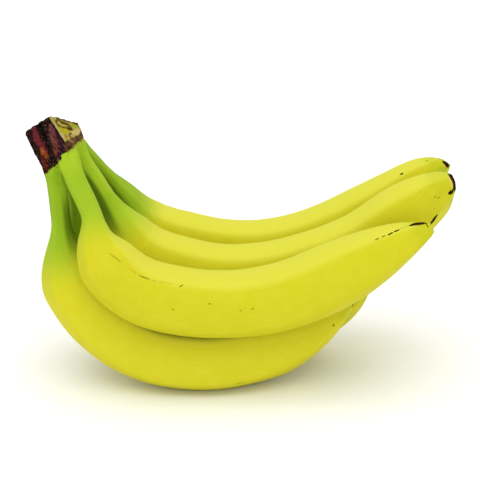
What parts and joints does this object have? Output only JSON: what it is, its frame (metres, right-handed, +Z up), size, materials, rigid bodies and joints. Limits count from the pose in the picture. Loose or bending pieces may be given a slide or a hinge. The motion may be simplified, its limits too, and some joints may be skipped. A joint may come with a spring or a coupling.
{
  "type": "hand of bananas",
  "caption": "Hand of bananas on one crown: curved, faintly five-ridged yellow fruit with green stalks, fanned in two rows and lying on the backs of the lower row.",
  "frame": {"origin": "bottom centre of the hand's bounding box, on the surface that it lies on", "axes": "+X from the crown to the flower ends, +Y from the front fruit to the rear fruit, +Z up"},
  "size_m": [0.2207, 0.1047, 0.1441],
  "materials": {
    "peel": "smooth waxy yellow peel, green along the stalks and necks, fine brown specks and ridge lines, black flower ends",
    "crown": "dark fibrous old cut, pale yellow-green fresh cut and rough tan-brown skin"
  },
  "bodies": {
    "root": {"crown": "crown", "finger_upper_front": "peel", "finger_upper_middle": "peel", "finger_upper_rear": "peel", "finger_lower_front": "peel", "finger_lower_rear": "peel"}
  },
  "joints": []
}
